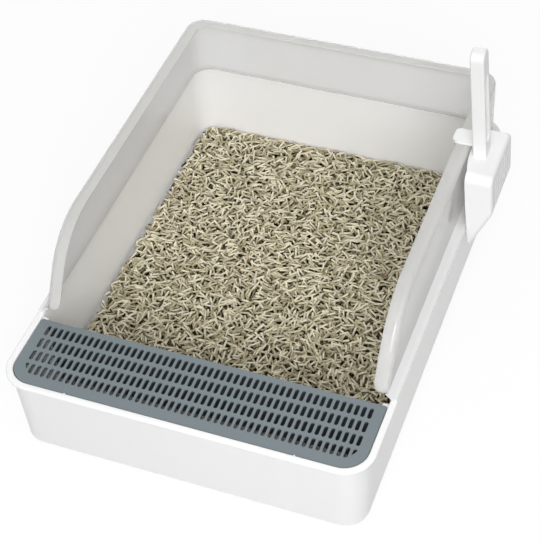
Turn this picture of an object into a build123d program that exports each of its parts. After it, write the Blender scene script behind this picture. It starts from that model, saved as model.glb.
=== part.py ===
from build123d import *
import math
import os

# Litter tray: an open tray, a lift-out foot grille, a splash guard standing on the rim and a hung scoop.
# Millimetres, +Z up. The origin is the middle of the face that the tray stands on, -Y is the entry side.

# Tray
tray_width = 388.0
tray_length = 522.0
tray_height = 100.0
rim_width = 7.0
rim_thickness = 3.0
rim_corner_radius = 32.0
rim_edge = 0.8
wall = 2.2
floor_thickness = 2.6
draft_angle = 1.7
base_edge_radius = 5.0
floor_fillet = 8.0

# Foot grille
grille_depth = 82.5
grille_thickness = 3.0
grille_drop = 1.5
grille_gap = 0.6
grille_rear_radius = 2.0
skirt_depth = 5.0
skirt_wall = 2.0
apron_wall = 2.0
apron_side_gap = 0.6
apron_floor_gap = 4.0
slot_width = 4.1
slot_length = 13.0
slot_corner = 1.3
slot_pitch_x = 6.93
slot_pitch_y = 16.95
slot_columns = 51
slot_rows = 4
slot_front_margin = 12.2
clip_margin = 10.0
clip_radius = 20.0

# Ribs, lugs and nibs of the tray that carry and locate the grille
rib_width = 4.0
rib_reach = 6.5
front_rib_spacing = 110.0
front_rib_count = 3
lug_drop = 3.5
lug_gap = 0.4
nib_radius = 1.2
nib_height = 3.0
nib_gap = 0.4
nib_spacing = 241.0

# Splash guard
guard_height = 81.0
guard_inset = 10.0
guard_wall = 2.4
guard_flange = 15.3
guard_shoulder_radius = 6.0
shoulder_relief = 2.2
flange_corner_radius = 10.0
foot_inset = 0.5
foot_thinning = 0.2
foot_flare = 5.5
front_slope = 57.0
front_bend_radius = 85.0
front_gap = 7.0
tongue_radius = 7.0

# Scoop
scoop_place = 125.0
blade_width = 84.0
blade_drop = 6.0
blade_length = 101.0
blade_straight = 50.0
blade_depth = 29.0
blade_swell = 2.2
blade_wall = 2.0
blade_edge_radius = 4.5
blade_shoulder_radius = 10.0
bowl_relief = 2.0
blade_bend_radius = 14.0
blade_stand_off = 5.5
blade_bow = 1.2
blade_lip = 4.4
tip_gap = 3.8
scoop_slot_width = 4.2
scoop_slot_length = 82.0
scoop_slot_corner = 1.3
scoop_slot_pitch = 9.6
scoop_slot_count = 7
scoop_slot_margin = 7.0
handle_length = 134.0
handle_width = 20.5
handle_thickness = 14.4
handle_lean = 4.0
handle_inset = 7.3
handle_foot = 18.0
handle_bar = 5.2
handle_crown = 31.0
handle_top_radius = 8.5
handle_edge = 1.2
hook_offset = 9.0
hook_width = 21.0
hook_thickness = 3.2
hook_clearance = 2.0
hook_lip = 5.0
hook_edge_radius = 2.4
hook_corner_radius = 7.0

# Litter
litter_depth = 11.0
litter_margin = 0.8
litter_flare = 37.0
litter_front_gap = 1.0

# Worked out from the sizes above
draft = math.tan(math.radians(draft_angle))
opening_width = tray_width - 2 * rim_width
opening_length = tray_length - 2 * rim_width
opening_radius = rim_corner_radius - rim_width
cavity_depth = tray_height - floor_thickness
grille_top = tray_height - grille_drop
skirt_bottom = grille_top - grille_thickness - skirt_depth
grille_clearance = grille_gap + draft * (tray_height - skirt_bottom)
grille_half_width = opening_width / 2 - grille_clearance
grille_front = grille_clearance - opening_length / 2
grille_rear = grille_front + grille_depth
grille_middle = (grille_front + grille_rear) / 2
slot_front_row = grille_front + slot_front_margin + slot_length / 2
slot_middle = slot_front_row + slot_pitch_y * (slot_rows - 1) / 2
guard_half_width = tray_width / 2 - guard_inset
guard_half_length = tray_length / 2 - guard_inset
guard_top = tray_height + guard_height
foot_thickness = guard_wall - foot_thinning
foot_rise = foot_thickness + foot_flare
guard_base = tray_height + foot_rise
guard_front = grille_rear + front_gap


def wall_middle(half_opening, z):
    """Distance from the middle of the tray to the middle of its sloping wall at height z."""
    return half_opening + wall / 2 - draft * (tray_height - z)


# Tray: a tapered shell with a flat rim, carrying ribs at the grille and two nibs at its front edge
with BuildPart() as tray:
    with BuildSketch(Plane.XY.offset(tray_height)):
        RectangleRounded(opening_width + 2 * wall, opening_length + 2 * wall, opening_radius + wall)
    extrude(amount=-tray_height, taper=draft_angle)
    fillet(tray.faces().sort_by(Axis.Z)[0].edges(), base_edge_radius)
    with BuildSketch(Plane.XY.offset(tray_height - rim_thickness)):
        RectangleRounded(tray_width, tray_length, rim_corner_radius)
    extrude(amount=rim_thickness)
    chamfer(tray.faces().sort_by(Axis.Z)[-1].outer_wire().edges(), rim_edge)
    with BuildSketch(Plane.XY.offset(tray_height)):
        RectangleRounded(opening_width, opening_length, opening_radius)
    extrude(amount=-cavity_depth, taper=draft_angle, mode=Mode.SUBTRACT)
    cavity_floor = tray.faces().filter_by(Axis.Z).group_by(Axis.Z)[1]
    fillet(cavity_floor.sort_by(SortBy.AREA)[-1].outer_wire().edges(), floor_fillet)
    chamfer(tray.faces().sort_by(Axis.Z)[-1].inner_wires()[0].edges(), rim_edge)
    # A post at each rear corner of the grille, with a lug that stands up behind it
    for side in (-1, 1):
        post_face = side * (opening_width / 2 - rib_reach)
        lug_top = tray_height - lug_drop
        lug_front = grille_rear + lug_gap
        with BuildSketch(Plane.XZ.offset(-lug_front)):
            with BuildLine():
                Polyline(
                    (post_face, floor_thickness),
                    (post_face, skirt_bottom),
                    (side * wall_middle(opening_width / 2, skirt_bottom), skirt_bottom),
                    (side * wall_middle(opening_width / 2, floor_thickness), floor_thickness),
                    close=True,
                )
            make_face()
        extrude(amount=rib_width)
        with BuildSketch(Plane.XZ.offset(-lug_front)):
            with BuildLine():
                Polyline(
                    (post_face, floor_thickness),
                    (post_face, lug_top),
                    (side * wall_middle(opening_width / 2, lug_top), lug_top),
                    (side * wall_middle(opening_width / 2, floor_thickness), floor_thickness),
                    close=True,
                )
            make_face()
        extrude(amount=-rib_width)
    # Ribs on the front wall that the front of the grille rests on
    with BuildSketch(Plane.YZ):
        with BuildLine():
            Polyline(
                (rib_reach - opening_length / 2, floor_thickness),
                (rib_reach - opening_length / 2, skirt_bottom),
                (-wall_middle(opening_length / 2, skirt_bottom), skirt_bottom),
                (-wall_middle(opening_length / 2, floor_thickness), floor_thickness),
                close=True,
            )
        make_face()
    front_rib = extrude(amount=rib_width / 2, both=True, mode=Mode.PRIVATE)
    with GridLocations(front_rib_spacing, 1, front_rib_count, 1):
        add(front_rib)
    # Nibs on the inner front edge of the rim
    with BuildSketch(Plane.XY.offset(tray_height - rim_edge)):
        with Locations((0, -opening_length / 2)):
            with GridLocations(nib_spacing, 1, 2, 1):
                Circle(nib_radius)
    extrude(amount=-nib_height)
tray.part.label = "tray"

# One slot, with its corners cut, and the rows of slots
with BuildSketch() as slot:
    Rectangle(slot_width, slot_length)
    chamfer(slot.vertices(), slot_corner)
with BuildSketch() as slot_grid:
    with Locations((0, slot_middle)):
        with GridLocations(slot_pitch_x, slot_pitch_y, slot_columns, slot_rows):
            add(slot.sketch)

# Foot grille: a slotted plate with a skirt round its underside and an apron down to the floor at its rear
with BuildPart() as grille:
    with BuildSketch(Plane.XY.offset(skirt_bottom)) as grille_plan:
        with Locations((0, grille_middle)):
            Rectangle(2 * grille_half_width, grille_depth)
        fillet(grille_plan.vertices().group_by(Axis.Y)[0], opening_radius - grille_gap)
        fillet(grille_plan.vertices().group_by(Axis.Y)[-1], grille_rear_radius)
        with Locations((0, -opening_length / 2)):
            with GridLocations(nib_spacing, 1, 2, 1):
                Circle(nib_radius + nib_gap, mode=Mode.SUBTRACT)
    extrude(amount=skirt_depth + grille_thickness)
    with BuildSketch(Plane.XY.offset(skirt_bottom)) as skirt_plan:
        with Locations((0, grille_middle)):
            Rectangle(2 * (grille_half_width - skirt_wall), grille_depth - 2 * skirt_wall)
        fillet(skirt_plan.vertices().group_by(Axis.Y)[0], opening_radius - grille_gap - skirt_wall)
    extrude(amount=skirt_depth, mode=Mode.SUBTRACT)
    with BuildSketch(Plane.XY.offset(grille_top)) as slot_plan:
        clip_depth = grille_depth - clip_margin
        with Locations((0, grille_rear - clip_depth / 2)):
            Rectangle(2 * (grille_half_width - clip_margin), clip_depth)
        fillet(slot_plan.vertices().group_by(Axis.Y)[0], clip_radius)
        add(slot_grid.sketch, mode=Mode.INTERSECT)
    extrude(amount=-grille_thickness, mode=Mode.SUBTRACT)
    with BuildSketch(Plane.XY.offset(skirt_bottom)):
        with Locations((0, grille_rear - apron_wall / 2)):
            Rectangle(opening_width - 2 * (rib_reach + apron_side_gap), apron_wall)
    extrude(amount=floor_thickness + apron_floor_gap - skirt_bottom)
grille.part.label = "foot_grille"


def guard_block(inset):
    """The block under the guard's roof line, which bends down at the front, drawn in by the inset."""
    slope = math.radians(front_slope)
    block_front = guard_front + inset / math.sin(slope)
    block_rear = guard_half_length - inset
    block_top = guard_top - inset
    bend_apex = block_front + (block_top - guard_base) / math.tan(slope)
    with BuildPart() as block:
        with BuildSketch(Plane.YZ) as block_side:
            with BuildLine():
                Polyline(
                    (block_front, guard_base),
                    (bend_apex, block_top),
                    (block_rear, block_top),
                    (block_rear, guard_base),
                    close=True,
                )
            make_face()
            bend = block_side.vertices().group_by(Axis.Y)[-1].sort_by(Axis.X)[0]
            fillet(bend, front_bend_radius - inset)
        extrude(amount=guard_half_width - inset, both=True)
        with BuildSketch(Plane.XY.offset(guard_base)):
            block_radius = rim_corner_radius - guard_inset - inset
            RectangleRounded(2 * (guard_half_width - inset), 2 * block_rear, block_radius)
        extrude(amount=guard_height, mode=Mode.INTERSECT)
    return block.part


def shoulder_edges(block):
    """The edges where the block's roof meets its upright sides."""
    roof = block.faces().filter_by(lambda face: face.normal_at().Z > 0.1)
    sides = block.faces().filter_by(lambda face: abs(face.normal_at().Z) < 0.01)
    return roof.edges() & sides.edges()


# Splash guard: a wall with a round shoulder and an inward flange, open below and in the middle
with BuildPart() as guard_hollow:
    add(guard_block(guard_wall))
    chamfer(shoulder_edges(guard_hollow), shoulder_relief)
with BuildPart() as guard:
    add(guard_block(0))
    fillet(shoulder_edges(guard), guard_shoulder_radius)
    add(guard_hollow.part, mode=Mode.SUBTRACT)
    with BuildSketch(Plane.XY.offset(guard_top)) as guard_mouth:
        mouth_half = guard_half_width - guard_flange
        mouth_rear = guard_half_length - guard_flange
        mouth_depth = mouth_rear - guard_front + guard_flange
        with Locations((0, mouth_rear - mouth_depth / 2)):
            Rectangle(2 * mouth_half, mouth_depth)
        fillet(guard_mouth.vertices().group_by(Axis.Y)[-1], flange_corner_radius)
        # The two ends of the flange are round tongues
        tongue_half = mouth_half + tongue_radius
        tongue_back = guard_front + tongue_radius
        with Locations((0, guard_front)):
            Rectangle(2 * tongue_half, 2 * tongue_radius)
        with Locations((tongue_half, tongue_back), (-tongue_half, tongue_back)):
            Circle(tongue_radius, mode=Mode.SUBTRACT)
    extrude(amount=-guard_height, mode=Mode.SUBTRACT)
    # The foot runs round the two sides and the back and flares out onto the rim
    with BuildLine(Plane.XY.offset(tray_height)) as foot_path:
        FilletPolyline(
            (guard_half_width, guard_front),
            (guard_half_width, guard_half_length),
            (-guard_half_width, guard_half_length),
            (-guard_half_width, guard_front),
            radius=rim_corner_radius - guard_inset,
        )
    foot_corner = (guard_half_width, guard_front, tray_height)
    foot_start = Plane(origin=foot_corner, x_dir=(-1, 0, 0), z_dir=(0, 1, 0))
    # The flare's two sides slope at 45 degrees, one wall apart
    flare_end = math.sqrt(2) * guard_wall - foot_rise
    with BuildSketch(foot_start):
        with BuildLine():
            Polyline(
                (foot_inset - guard_inset, 0),
                (foot_inset - guard_inset, foot_thickness),
                (-foot_flare, foot_thickness),
                (0, foot_rise),
                (guard_wall, foot_rise),
                (guard_wall, guard_wall - flare_end),
                (flare_end, 0),
                close=True,
            )
        make_face()
    sweep(path=foot_path.wires()[0])
guard.part.label = "splash_guard"

# Scoop: a slotted shell open towards the guard, with a loop handle and a hook over the guard's flange
blade_top = guard_top - blade_drop
blade_tip = blade_top - blade_length
blade_bend = blade_top - blade_straight
blade_open = guard_half_width + blade_stand_off
blade_outer = blade_open + blade_depth
tip_open = tray_width / 2 + tip_gap
bow_middle = ((blade_open + tip_open) / 2 - blade_bow, (blade_top + blade_tip) / 2)
scoop_plane = Plane(origin=(0, scoop_place, 0), x_dir=(1, 0, 0), z_dir=(0, -1, 0))
lean = math.radians(handle_lean)
handle_base = (blade_open + handle_inset, scoop_place, blade_top - blade_wall)
handle_plane = Plane(origin=handle_base, x_dir=(0, 1, 0), z_dir=(math.cos(lean), 0, math.sin(lean)))


def blade_block(inset):
    """The blade's block with its round shoulders, drawn in from its faces by the inset."""
    with BuildPart() as block:
        with BuildSketch(scoop_plane):
            with BuildLine():
                Line((blade_open, blade_top), (blade_outer, blade_top))
                Line((blade_outer, blade_top), (blade_outer + blade_swell, blade_bend))
                Line((blade_outer + blade_swell, blade_bend), (tip_open, blade_tip))
                ThreePointArc((tip_open, blade_tip), bow_middle, (blade_open, blade_top))
            make_face()
            if inset:
                offset(amount=-inset, kind=Kind.INTERSECTION, mode=Mode.REPLACE)
        extrude(amount=blade_width / 2 - inset, both=True)
        fillet(block.edges().filter_by(Axis.Y).sort_by(Axis.X)[-1], blade_bend_radius - inset)
        fillet(block.edges().filter_by(Axis.X).group_by(Axis.Z)[-1], blade_shoulder_radius - inset)
    return block.part


def rim_edges(block):
    """The edges round the blade block's closed face, from the tip over both sides and the top."""
    top_edge = block.edges().filter_by(Axis.Y).group_by(Axis.Z)[-1].sort_by(Axis.X)[-1:]
    side_edges = block.edges().filter_by(lambda edge: abs(edge.tangent_at(0.5).Y) < 0.9)
    open_edges = block.faces().sort_by(Axis.X)[0].edges()
    return (side_edges + top_edge) - open_edges - block.edges().filter_by(Axis.X)


# One slot of the blade, with its corners cut
with BuildSketch() as scoop_slot:
    Rectangle(scoop_slot_width, scoop_slot_length)
    chamfer(scoop_slot.vertices(), scoop_slot_corner)

# The handle is a rounded loop that stands on the blade's top wall
with BuildPart() as handle:
    with BuildSketch(handle_plane) as handle_outline:
        with Locations((0, handle_length / 2)):
            Rectangle(handle_width, handle_length)
        fillet(handle_outline.vertices().group_by(Axis.Y)[-1], handle_top_radius)
        loop_length = handle_length - handle_foot - handle_crown
        with Locations((0, handle_foot + loop_length / 2)):
            SlotOverall(loop_length, handle_width - 2 * handle_bar, rotation=90, mode=Mode.SUBTRACT)
    extrude(amount=handle_thickness / 2, both=True)
    handle_faces = handle.faces().sort_by(Axis.X)
    foot_edges = handle.faces().sort_by(Axis.Z)[0].edges()
    chamfer((handle_faces[0].edges() + handle_faces[-1].edges()) - foot_edges, handle_edge)

# The hook's strap has round corners in plan and a short lip at its end
hook_place = scoop_place + hook_offset
hook_inner = guard_half_width - guard_flange - hook_clearance
hook_outer = hook_inner - hook_thickness
with BuildPart() as hook:
    with BuildSketch(Plane.XZ.offset(-hook_place)) as hook_side:
        with BuildLine():
            Polyline(
                (handle_base[0], guard_top),
                (hook_inner, guard_top),
                (hook_inner, guard_top - hook_lip),
                (hook_outer, guard_top - hook_lip),
                (hook_outer, guard_top + hook_thickness),
                (handle_base[0], guard_top + hook_thickness),
                close=True,
            )
        make_face()
        fillet(hook_side.vertices().group_by(Axis.X)[0].sort_by(Axis.Y)[-1], hook_edge_radius)
    extrude(amount=hook_width / 2, both=True)
    with BuildSketch(Plane.XY.offset(guard_top - hook_lip)) as hook_plan:
        hook_reach = handle_base[0] - hook_outer
        with Locations((hook_outer + hook_reach / 2, hook_place)):
            Rectangle(hook_reach, hook_width)
        fillet(hook_plan.vertices().group_by(Axis.X)[0], hook_corner_radius)
    extrude(amount=hook_lip + hook_thickness, mode=Mode.INTERSECT)

with BuildPart() as bowl:
    add(blade_block(blade_wall))
    chamfer(rim_edges(bowl), bowl_relief)
with BuildPart() as scoop:
    add(blade_block(0))
    fillet(rim_edges(scoop), blade_edge_radius)
    add(bowl.part, mode=Mode.SUBTRACT)
    extrude(bowl.faces().sort_by(Axis.X)[0], amount=blade_depth, dir=(-1, 0, 0), mode=Mode.SUBTRACT)
    # The top wall bows out towards the guard
    with BuildSketch(Plane.XY.offset(blade_top)):
        lip_half = blade_width / 2 - blade_shoulder_radius
        with BuildLine():
            lip_start = (blade_open, scoop_place - lip_half)
            lip_end = (blade_open, scoop_place + lip_half)
            ThreePointArc(lip_start, (blade_open - blade_lip, scoop_place), lip_end)
            Polyline(lip_end, (blade_open + blade_wall, scoop_place), lip_start)
        make_face()
    extrude(amount=-blade_wall)
    slot_face = Plane(origin=(blade_outer + blade_depth, scoop_place, 0), x_dir=(0, 1, 0), z_dir=(1, 0, 0))
    with BuildSketch(slot_face):
        with Locations((0, blade_top - scoop_slot_margin - scoop_slot_length / 2)):
            with GridLocations(scoop_slot_pitch, 1, scoop_slot_count, 1):
                add(scoop_slot.sketch)
    extrude(amount=-2 * blade_depth, mode=Mode.SUBTRACT)
    add(handle.part)
    add(hook.part)
scoop.part.label = "scoop"

# Litter: a low bed that widens up the fillet of the floor and ends behind the grille's apron
floor_half_width = opening_width / 2 - draft * cavity_depth - floor_fillet - litter_margin
floor_half_length = opening_length / 2 - draft * cavity_depth - floor_fillet - litter_margin
with BuildPart() as litter:
    with BuildSketch(Plane.XY.offset(floor_thickness)):
        RectangleRounded(2 * floor_half_width, 2 * floor_half_length, opening_radius - floor_fillet)
    extrude(amount=litter_depth, taper=-litter_flare)
    litter_front = grille_rear + litter_front_gap
    split(bisect_by=Plane.XZ.offset(-litter_front), keep=Keep.BOTTOM)
    # The front corners leave room for the grille's posts
    notch_depth = lug_gap + rib_width + litter_margin - litter_front_gap
    notch_face = opening_width / 2 - rib_reach - litter_margin
    with BuildSketch(Plane.XY.offset(floor_thickness)):
        with Locations((0, litter_front + notch_depth / 2)):
            with GridLocations(2 * (notch_face + rib_reach), 1, 2, 1):
                Rectangle(2 * rib_reach, notch_depth)
    extrude(amount=litter_depth, mode=Mode.SUBTRACT)
litter.part.label = "litter_bed"

os.makedirs("parts", exist_ok=True)
export_step(tray.part, "parts/tray.step")
export_step(grille.part, "parts/foot_grille.step")
export_step(guard.part, "parts/splash_guard.step")
export_step(scoop.part, "parts/scoop.step")
export_step(litter.part, "parts/litter_bed.step")
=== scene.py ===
import math

import bpy
import numpy as np
from mathutils import Matrix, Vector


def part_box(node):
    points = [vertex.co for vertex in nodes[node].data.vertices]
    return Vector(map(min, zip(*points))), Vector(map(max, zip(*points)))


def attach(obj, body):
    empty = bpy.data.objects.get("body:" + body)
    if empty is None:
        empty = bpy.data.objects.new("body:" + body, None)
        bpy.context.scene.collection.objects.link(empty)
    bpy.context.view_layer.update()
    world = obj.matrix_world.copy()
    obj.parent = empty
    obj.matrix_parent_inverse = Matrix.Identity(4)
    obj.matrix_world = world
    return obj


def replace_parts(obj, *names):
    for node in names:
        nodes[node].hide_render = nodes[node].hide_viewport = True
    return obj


# Litter tray: white tray and scoop, pale see-through splash guard, slate foot grille and pressed pellets.

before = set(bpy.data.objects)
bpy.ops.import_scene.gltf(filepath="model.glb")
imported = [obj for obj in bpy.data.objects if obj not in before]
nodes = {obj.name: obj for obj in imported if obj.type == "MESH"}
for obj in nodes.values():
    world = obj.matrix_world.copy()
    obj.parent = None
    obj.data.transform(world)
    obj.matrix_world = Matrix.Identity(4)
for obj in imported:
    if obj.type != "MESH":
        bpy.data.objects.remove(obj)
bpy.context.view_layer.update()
MM = 0.001


# Meshes

def mesh_piece(name, points, faces, smooth=True):
    """An object at the origin from an array of points in millimetres and a list of face index arrays."""
    mesh = bpy.data.meshes.new(name)
    mesh.from_pydata((points * MM).tolist(), [], [face for block in faces for face in block.tolist()])
    mesh.polygons.foreach_set("use_smooth", np.full(len(mesh.polygons), smooth))
    mesh.update()
    piece = bpy.data.objects.new(name, mesh)
    bpy.context.scene.collection.objects.link(piece)
    return piece


def tube_sides(columns):
    """Quads between the two rings of a tube: points 0 to columns - 1, and as many again after them."""
    first = np.arange(columns)
    ahead = (first + 1) % columns
    return np.stack([first + columns, ahead + columns, ahead, first], axis=-1)


def grid_band(rows, columns):
    """Quads of an open grid of rows x columns points."""
    row, column = np.meshgrid(np.arange(rows - 1), np.arange(columns - 1), indexing="ij")
    first = row * columns + column
    return np.stack([first, first + 1, first + columns + 1, first + columns], axis=-1).reshape(-1, 4)


# Node groups and materials

def new_group(name, inputs, outputs):
    """A shader node group with its named sockets, its input node and its output node."""
    group = bpy.data.node_groups.new(name, "ShaderNodeTree")
    for label, kind, value in inputs:
        socket = group.interface.new_socket(name=label, in_out="INPUT", socket_type=kind)
        socket.default_value = value
    for label, kind in outputs:
        group.interface.new_socket(name=label, in_out="OUTPUT", socket_type=kind)
    return group, group.nodes.new("NodeGroupInput"), group.nodes.new("NodeGroupOutput")


def node(tree, kind, **values):
    """A node with attributes set by name, and input sockets set by names that start with in_."""
    made = tree.nodes.new(kind)
    for key, value in values.items():
        if key.startswith("in_"):
            made.inputs[key[3:].replace("_", " ")].default_value = value
        else:
            setattr(made, key, value)
    return made


def moulded_group():
    """Moulded plastic: faint flow clouds in the colour, roughness that wanders and a fine grain.

    Colour x (1 + Clouding x (cloud - 0.5) + Speckle x (grain - 0.5)), roughness + Wander x (cloud - 0.5).
    """
    group, given, out = new_group(
        "moulded_plastic",
        [
            ("Color", "NodeSocketColor", (0.8, 0.8, 0.8, 1)),
            ("Clouding", "NodeSocketFloat", 0.02),
            ("Speckle", "NodeSocketFloat", 0.02),
            ("Roughness", "NodeSocketFloat", 0.35),
            ("Wander", "NodeSocketFloat", 0.04),
            ("Grain Scale", "NodeSocketFloat", 1500.0),
            ("Grain", "NodeSocketFloat", 0.05),
        ],
        [("Color", "NodeSocketColor"), ("Roughness", "NodeSocketFloat"), ("Normal", "NodeSocketVector")],
    )
    link = group.links.new
    coords = node(group, "ShaderNodeTexCoord")
    cloud = node(group, "ShaderNodeTexNoise", in_Scale=9.0, in_Detail=2.0, in_Roughness=0.5)
    grain = node(group, "ShaderNodeTexNoise", in_Detail=2.0, in_Roughness=0.6)
    link(coords.outputs["Object"], cloud.inputs["Vector"])
    link(coords.outputs["Object"], grain.inputs["Vector"])
    link(given.outputs["Grain Scale"], grain.inputs["Scale"])

    def swing(texture, amount, start):
        """start + amount x (texture - 0.5)."""
        centred = node(group, "ShaderNodeMath", operation="SUBTRACT")
        centred.inputs[1].default_value = 0.5
        link(texture.outputs["Fac"], centred.inputs[0])
        added = node(group, "ShaderNodeMath", operation="MULTIPLY_ADD")
        link(centred.outputs[0], added.inputs[0])
        link(amount, added.inputs[1])
        if isinstance(start, float):
            added.inputs[2].default_value = start
        else:
            link(start, added.inputs[2])
        return added.outputs[0]

    shade = swing(grain, given.outputs["Speckle"], swing(cloud, given.outputs["Clouding"], 1.0))
    tinted = node(group, "ShaderNodeVectorMath", operation="SCALE")
    link(given.outputs["Color"], tinted.inputs[0])
    link(shade, tinted.inputs["Scale"])
    link(tinted.outputs[0], out.inputs["Color"])
    link(swing(cloud, given.outputs["Wander"], given.outputs["Roughness"]), out.inputs["Roughness"])
    bump = node(group, "ShaderNodeBump", in_Distance=0.0002)
    link(given.outputs["Grain"], bump.inputs["Strength"])
    link(grain.outputs["Fac"], bump.inputs["Height"])
    link(bump.outputs["Normal"], out.inputs["Normal"])
    return group


def material(name):
    """A new node material, its tree and its Principled BSDF."""
    made = bpy.data.materials.new(name)
    made.use_nodes = True
    return made, made.node_tree, made.node_tree.nodes["Principled BSDF"]


def moulded_material(name, color, group_values, shader_values):
    """A plastic finish: the moulded group feeds colour, roughness and normal of the shader."""
    made, tree, shader = material(name)
    finish = node(tree, "ShaderNodeGroup", node_tree=moulded, in_Color=(*color, 1))
    for label, value in group_values.items():
        finish.inputs[label].default_value = value
    for label in ("Color", "Roughness", "Normal"):
        tree.links.new(finish.outputs[label], shader.inputs["Base Color" if label == "Color" else label])
    for label, value in shader_values.items():
        shader.inputs[label].default_value = value
    return made


def paint_shade_under(finish, high, fade, least):
    """Paint shade into a finish under a plate whose highest corner is high: the painted shade of the dark
    space under the grille. Its top and rear faces keep their colour.

    The colour is scaled by the larger of two ramps from least to 1, over the last fade metres in Z and in Y.
    """
    tree = finish.node_tree
    color = tree.nodes["Principled BSDF"].inputs["Base Color"]
    source = color.links[0].from_socket
    coords = node(tree, "ShaderNodeTexCoord")
    parts = node(tree, "ShaderNodeSeparateXYZ")
    larger = node(tree, "ShaderNodeMath", operation="MAXIMUM")
    darker = node(tree, "ShaderNodeVectorMath", operation="SCALE")
    tree.links.new(coords.outputs["Object"], parts.inputs[0])
    for place, (axis, edge) in enumerate((("Z", high[2]), ("Y", high[1]))):
        level = node(tree, "ShaderNodeMapRange", in_To_Min=least)
        level.inputs["From Min"].default_value = edge - fade
        level.inputs["From Max"].default_value = edge - fade / 10
        tree.links.new(parts.outputs[axis], level.inputs["Value"])
        tree.links.new(level.outputs["Result"], larger.inputs[place])
    tree.links.new(source, darker.inputs[0])
    tree.links.new(larger.outputs[0], darker.inputs["Scale"])
    tree.links.new(darker.outputs[0], color)


def pellet_material():
    """Pressed plant pellets with fibre flecks and a dull broken surface: each has its own tone, and the dark
    end of the tone ramp is painted shade for the lower layers and the heap under them.
    """
    made, tree, shader = material("pressed_pellets")
    tone_and_shade = node(tree, "ShaderNodeAttribute", attribute_name="tone_and_shade")
    ramp = node(tree, "ShaderNodeValToRGB")
    # Tones up to 0.15 are near black and dark brown: painted shade between and under the pellets
    stops = [
        (0.0, (0.010, 0.008, 0.004)),
        (0.15, (0.14, 0.11, 0.06)),
        (0.5, (0.54, 0.48, 0.32)),
        (0.85, (0.86, 0.80, 0.62)),
        (1.0, (0.88, 0.84, 0.65)),
    ]
    for place, _ in stops[1:-1]:
        ramp.color_ramp.elements.new(place)
    for element, (place, color) in zip(ramp.color_ramp.elements, stops):
        element.position = place
        element.color = (*color, 1)
    tree.links.new(tone_and_shade.outputs["Fac"], ramp.inputs["Fac"])
    coords = node(tree, "ShaderNodeTexCoord")
    flecks = node(tree, "ShaderNodeTexNoise", in_Scale=700.0, in_Detail=3.0, in_Roughness=0.65)
    tree.links.new(coords.outputs["Object"], flecks.inputs["Vector"])
    shade = node(tree, "ShaderNodeMapRange", in_To_Min=0.82, in_To_Max=1.15)
    tree.links.new(flecks.outputs["Fac"], shade.inputs["Value"])
    mixed = node(tree, "ShaderNodeVectorMath", operation="SCALE")
    tree.links.new(ramp.outputs["Color"], mixed.inputs[0])
    tree.links.new(shade.outputs["Result"], mixed.inputs["Scale"])
    tree.links.new(mixed.outputs[0], shader.inputs["Base Color"])
    bump = node(tree, "ShaderNodeBump", in_Strength=0.5, in_Distance=0.0004)
    tree.links.new(flecks.outputs["Fac"], bump.inputs["Height"])
    tree.links.new(bump.outputs["Normal"], shader.inputs["Normal"])
    shader.inputs["Roughness"].default_value = 0.85
    shader.inputs["Specular IOR Level"].default_value = 0.25
    return made


# Subsurface light stands in for the light that comes through a thin wall
THIN_WALL = {"Subsurface Weight": 1.0, "Subsurface Radius": (1.0, 1.0, 1.0), "Subsurface Scale": 0.004}
# Painted shade under the foot grille: its colour falls to the least level over the last fade metres below
# its top and ahead of its rear
GRILLE_SHADE_FADE = 0.003
GRILLE_SHADE_LEAST = 0.08
FOOT_HEIGHT = 0.0075

moulded = moulded_group()
tray_white = moulded_material(
    "tray_white",
    (0.94, 0.94, 0.938),
    {"Roughness": 0.3, "Grain": 0.03, "Grain Scale": 1400.0},
    {**THIN_WALL, "Subsurface Weight": 0.6},
)
guard_pale = moulded_material(
    "guard_pale",
    (0.92, 0.923, 0.92),
    {"Roughness": 0.1, "Grain": 0.02, "Grain Scale": 1200.0},
    {**THIN_WALL, "Subsurface Scale": 0.016, "Alpha": 0.77},
)
guard_foot = moulded_material(
    "guard_foot",
    (0.79, 0.79, 0.788),
    {"Roughness": 0.12, "Grain": 0.02, "Grain Scale": 1200.0},
    {},
)
scoop_white = moulded_material(
    "scoop_white",
    (0.895, 0.895, 0.893),
    {"Roughness": 0.45, "Grain": 0.03, "Grain Scale": 1500.0},
    {},
)
grille_slate = moulded_material(
    "grille_slate",
    (0.172, 0.207, 0.224),
    {"Roughness": 0.5, "Grain": 0.2, "Grain Scale": 900.0, "Clouding": 0.05, "Speckle": 0.15},
    {},
)
# Painted shade on the grille's faces below its top and ahead of its rear edge, for the dark space under it
paint_shade_under(grille_slate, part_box("foot_grille")[1], GRILLE_SHADE_FADE, GRILLE_SHADE_LEAST)
pellets = pellet_material()

FINISHES = {
    "tray": tray_white,
    "splash_guard": guard_pale,
    "scoop": scoop_white,
    "foot_grille": grille_slate,
}
for name, finish in FINISHES.items():
    nodes[name].data.materials.clear()
    nodes[name].data.materials.append(finish)


def finish_foot(guard, foot_top):
    """The guard's faces below foot_top take the opaque finish of its foot, which lies on the rim."""
    guard.data.materials.append(guard_foot)
    middles = np.empty(3 * len(guard.data.polygons))
    guard.data.polygons.foreach_get("center", middles)
    guard.data.polygons.foreach_set("material_index", (middles[2::3] < foot_top).astype(np.int32))
    guard.data.update()


finish_foot(nodes["splash_guard"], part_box("splash_guard")[0][2] + FOOT_HEIGHT)


# Litter, in millimetres

LITTER_LOW, LITTER_HIGH = [np.array(corner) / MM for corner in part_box("litter_bed")]
CORNER_RADIUS = 22.0
PELLET_RADIUS = 1.12
RADIUS_SPREAD = (0.86, 1.12)
HALF_LENGTHS = (3.8, 6.9)
TIP_ANGLE = 0.12
HEAVE = 0.7
SIDES = 6
HEAP_SINK = 5.0
HEAP_INSET = 6.0
rng = np.random.default_rng(11)


def bed_height(x, y):
    """Top of the litter: 0.7 mm below the bed's own top, with two low waves on it."""
    long_wave = 0.5 * np.sin(x / 31 + 0.7) * np.cos(y / 37)
    short_wave = 0.35 * np.sin(x / 13 + y / 17)
    return LITTER_HIGH[2] - 0.7 + long_wave + short_wave


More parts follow.
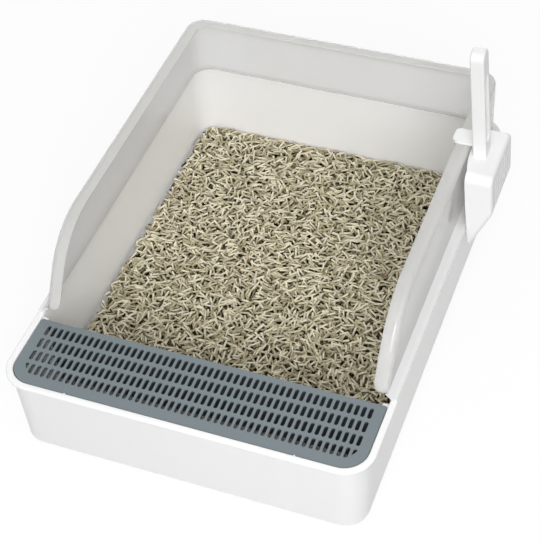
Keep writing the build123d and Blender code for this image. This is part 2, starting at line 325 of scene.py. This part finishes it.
def turned_to_fit(yaw, half, room_x, room_y):
    """Yaw of pellets beside a wall: the part of half along X or Y is cut to the room that is left there."""
    cos_yaw = np.clip(np.cos(yaw), -room_x / half, room_x / half)
    yaw = np.where(np.sin(yaw) < 0, -1, 1) * np.arccos(cos_yaw)
    sin_yaw = np.clip(np.sin(yaw), -room_y / half, room_y / half)
    return np.where(np.cos(yaw) < 0, np.pi - np.arcsin(sin_yaw), np.arcsin(sin_yaw))


def outside_corners(x, y):
    """How far a point lies outside the bed's round rear corners, and -1 where it isn't at a corner."""
    over_x = np.abs(x) - (LITTER_HIGH[0] - CORNER_RADIUS)
    over_y = y - (LITTER_HIGH[1] - CORNER_RADIUS)
    return np.where((over_x > 0) & (over_y > 0), np.hypot(over_x, over_y) - CORNER_RADIUS, -1.0)


def litter_piece(name, points, faces, tones_and_shade):
    """A piece of litter in the pellets' material, with a tone for each point; its low tones are painted
    shade.
    """
    piece = mesh_piece(name, points, faces)
    shades = piece.data.attributes.new("tone_and_shade", "FLOAT", "POINT")
    shades.data.foreach_set("value", tones_and_shade)
    piece.data.materials.append(pellets)
    return piece


def pellet_layer(name, cell, sink, tones_and_shade):
    """Blunt six-sided pellets on a shaken grid, turned at random about Z and tipped by a normal angle.

    A pellet is two rings, centre - half x axis and centre + half x axis, each with radius x (cos t, sin t)
    across the axis for six turns t. Pellets with an end outside the bed are left out.
    """
    xs, ys = [np.arange(LITTER_LOW[axis] + 2, LITTER_HIGH[axis] - 1, cell) for axis in (0, 1)]
    x, y = [part.ravel() for part in np.meshgrid(xs, ys)]
    x = x + rng.uniform(-0.5, 0.5, len(x)) * cell
    y = y + rng.uniform(-0.5, 0.5, len(y)) * cell
    half = rng.uniform(*HALF_LENGTHS, len(x))
    radius = PELLET_RADIUS * rng.uniform(*RADIUS_SPREAD, len(x))
    room_x = np.maximum(LITTER_HIGH[0] - radius - np.abs(x), 0)
    room_y = np.maximum(np.minimum(LITTER_HIGH[1] - y, y - LITTER_LOW[1]) - radius, 0)
    yaw = turned_to_fit(rng.uniform(0, 2 * np.pi, len(x)), half, room_x, room_y)
    pitch = rng.normal(0, TIP_ANGLE, len(x))
    z = bed_height(x, y) - sink + rng.uniform(-HEAVE, HEAVE, len(x))
    # Random tone within the layer's range; a deeper layer's darker range is painted shade
    tone_and_shade = rng.uniform(*tones_and_shade, len(x))

    ends = [(x + side * half * np.cos(yaw), y + side * half * np.sin(yaw)) for side in (-1, 1)]
    past = [np.maximum(outside_corners(*end), np.abs(end[0]) - room_x - np.abs(x)) for end in ends]
    inside = np.maximum(*past) < -0.01
    kept = [part[inside][:, None] for part in (x, y, z, half, radius, yaw, pitch, tone_and_shade)]
    x, y, z, half, radius, yaw, pitch, tone_and_shade = kept

    turn = np.tile(np.arange(SIDES) * 2 * np.pi / SIDES, 2)
    along = half * np.repeat([-1.0, 1.0], SIDES)
    across = radius * np.cos(turn)
    above = radius * np.sin(turn)
    flat = along * np.cos(pitch) - above * np.sin(pitch)
    points = np.stack(
        [
            x + flat * np.cos(yaw) - across * np.sin(yaw),
            y + flat * np.sin(yaw) + across * np.cos(yaw),
            z + along * np.sin(pitch) + above * np.cos(pitch),
        ],
        axis=-1,
    )
    start = (np.arange(len(x)) * 2 * SIDES)[:, None]
    sides = (tube_sides(SIDES) + start[:, None]).reshape(-1, 4)
    near = (np.arange(SIDES) + start)[:, ::-1]
    far = np.arange(SIDES, 2 * SIDES) + start
    return litter_piece(name, points.reshape(-1, 3), [sides, near, far], np.repeat(tone_and_shade[:, 0], 2 * SIDES))


# Name, grid cell, depth below the top and range of tones of each layer; the deeper layers take darker tones
# as painted shade in the gaps
LAYERS = (
    ("pellets_top", 6.0, 0.0, (0.45, 1.0)),
    ("pellets_mid", 5.6, 1.8, (0.2, 0.62)),
    ("pellets_low", 6.0, 3.6, (0.02, 0.2)),
)
for layer_name, cell, sink, tones_and_shade in LAYERS:
    layer = pellet_layer(layer_name, cell, sink, tones_and_shade)
    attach(layer, "tray_body")


def litter_shade_heap():
    """The litter under the pellets, painted near black as the shade in the gaps between them: a grid at
    bed_height - HEAP_SINK, its border brought to the floor.
    """
    xs = np.linspace(LITTER_LOW[0] + HEAP_INSET, LITTER_HIGH[0] - HEAP_INSET, 60)
    ys = np.linspace(LITTER_LOW[1] + HEAP_INSET / 2, LITTER_HIGH[1] - HEAP_INSET, 70)
    x, y = np.meshgrid(xs, ys)
    z = bed_height(x, y) - HEAP_SINK
    border = np.ones_like(z, dtype=bool)
    border[1:-1, 1:-1] = False
    z[border] = LITTER_LOW[2] + 0.2
    points = np.stack([x, y, z], axis=-1).reshape(-1, 3)
    # Tone 0 everywhere: the heap is painted near black as the shade under the pellets
    return litter_piece("litter_shade_heap", points, [grid_band(*z.shape)], np.zeros(len(points)))


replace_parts(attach(litter_shade_heap(), "tray_body"), "litter_bed")


# Stage

def shown(tree, seen):
    """1 for the rays that show the background: camera, glossy and transmission rays."""
    total = seen.outputs["Is Camera Ray"]
    for label in ("Is Glossy Ray", "Is Transmission Ray"):
        either = node(tree, "ShaderNodeMath", operation="MAXIMUM")
        tree.links.new(total, either.inputs[0])
        tree.links.new(seen.outputs[label], either.inputs[1])
        total = either.outputs[0]
    return total


def studio_floor():
    """A floor that the camera sees nearly white, with a faint shadow. Bounced light sees it darker."""
    reach = 4000.0
    drop = 0.3
    corners = np.array([[-reach, -reach, 0], [reach, -reach, 0], [reach, reach, 0], [-reach, reach, 0]])
    floor = mesh_piece("studio_floor", corners - [0, 0, drop], [np.array([[0, 1, 2, 3]])], smooth=False)
    made, tree, shader = material("pale_floor")
    shader.inputs["Roughness"].default_value = 0.9
    glow = node(tree, "ShaderNodeEmission", in_Strength=1.0)
    seen = node(tree, "ShaderNodeLightPath")
    grey = node(tree, "ShaderNodeMapRange", in_To_Min=0.36, in_To_Max=0.95)
    tree.links.new(shown(tree, seen), grey.inputs["Value"])
    tree.links.new(grey.outputs["Result"], shader.inputs["Base Color"])
    share = node(tree, "ShaderNodeMath", operation="MULTIPLY")
    share.inputs[1].default_value = 0.85
    blend = node(tree, "ShaderNodeMixShader")
    tree.links.new(shown(tree, seen), share.inputs[0])
    tree.links.new(share.outputs[0], blend.inputs["Fac"])
    tree.links.new(shader.outputs[0], blend.inputs[1])
    tree.links.new(glow.outputs[0], blend.inputs[2])
    tree.links.new(blend.outputs[0], tree.nodes["Material Output"].inputs["Surface"])
    floor.data.materials.append(made)


def soft_lamp(name, toward, level):
    """A large soft disk lamp that adds level x albedo to a matt face turned to it, aimed at the origin."""
    distance = 2.4
    lamp = bpy.data.lights.new(name, "AREA")
    lamp.shape = "DISK"
    lamp.size = 1.6
    lamp.energy = level * (math.pi * distance) ** 2
    placed = bpy.data.objects.new(name, lamp)
    bpy.context.scene.collection.objects.link(placed)
    placed.location = np.array(toward) / np.linalg.norm(toward) * distance
    placed.rotation_euler = (-placed.location).to_track_quat("-Z", "Y").to_euler()


def studio_light():
    """A white room that lights more from its ceiling, with a soft lamp in front and a weaker one behind."""
    world = bpy.data.worlds.new("studio_room")
    bpy.context.scene.world = world
    world.use_nodes = True
    tree = world.node_tree
    room = tree.nodes["Background"]
    room.inputs["Color"].default_value = (1.0, 1.0, 1.0, 1)
    seen = node(tree, "ShaderNodeLightPath")
    toward = node(tree, "ShaderNodeTexCoord")
    parts = node(tree, "ShaderNodeSeparateXYZ")
    ceiling = node(tree, "ShaderNodeMapRange", in_To_Min=0.18, in_To_Max=0.74)
    level = node(tree, "ShaderNodeMapRange", in_To_Max=1.0)
    tree.links.new(toward.outputs["Generated"], parts.inputs[0])
    tree.links.new(parts.outputs["Z"], ceiling.inputs["Value"])
    tree.links.new(ceiling.outputs["Result"], level.inputs["To Min"])
    tree.links.new(shown(tree, seen), level.inputs["Value"])
    tree.links.new(level.outputs["Result"], room.inputs["Strength"])
    soft_lamp("soft_key", (0.31, -0.74, 0.60), 0.71)
    soft_lamp("soft_back", (-0.25, 0.93, 0.27), 0.25)


def photo_camera():
    """The camera from the fit to the photograph: its three axes, its place and its focal length."""
    right = (0.93516, 0.34968, -0.05652)
    up = (-0.21828, 0.69456, 0.68553)
    back = (0.27897, -0.62874, 0.72585)
    place = (0.4513, -1.0195, 1.2347)
    lens = bpy.data.cameras.new("photo_camera")
    lens.sensor_width = 36.0
    lens.lens = 99.24
    camera = bpy.data.objects.new("photo_camera", lens)
    bpy.context.scene.collection.objects.link(camera)
    rows = [(*axes, spot) for axes, spot in zip(zip(right, up, back), place)]
    camera.matrix_world = Matrix(rows + [(0, 0, 0, 1)])
    bpy.context.scene.camera = camera


studio_floor()
studio_light()
photo_camera()
bpy.context.scene.view_settings.view_transform = "Standard"
